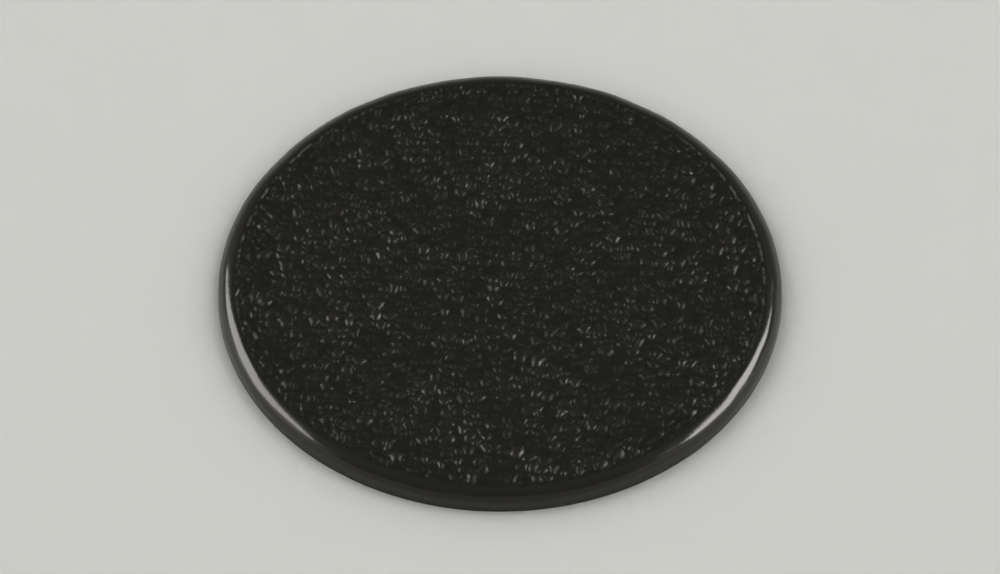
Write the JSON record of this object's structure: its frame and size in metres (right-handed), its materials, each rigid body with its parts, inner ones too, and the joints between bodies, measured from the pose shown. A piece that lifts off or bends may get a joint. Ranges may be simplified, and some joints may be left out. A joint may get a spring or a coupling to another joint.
{
  "type": "screw cover cap",
  "caption": "Thin round self-adhesive cap that hides a screw head or a fitting hole in a panel; fine-grained black face with a rounded, punched rim.",
  "frame": {"origin": "centre of the adhesive face, on the surface that the cap is stuck to or rests on", "axes": "+Z out of the adhesive face towards the grained show face; +X and +Y lie in the adhesive face, and the cap is round about Z"},
  "size_m": [0.0142, 0.0142, 0.0005],
  "materials": {
    "black_plastic": "rigid black plastic sheet, fine embossed grain on the show face, smooth satin punched rim"
  },
  "bodies": {
    "root": {"cover_cap": "black_plastic"}
  },
  "joints": []
}
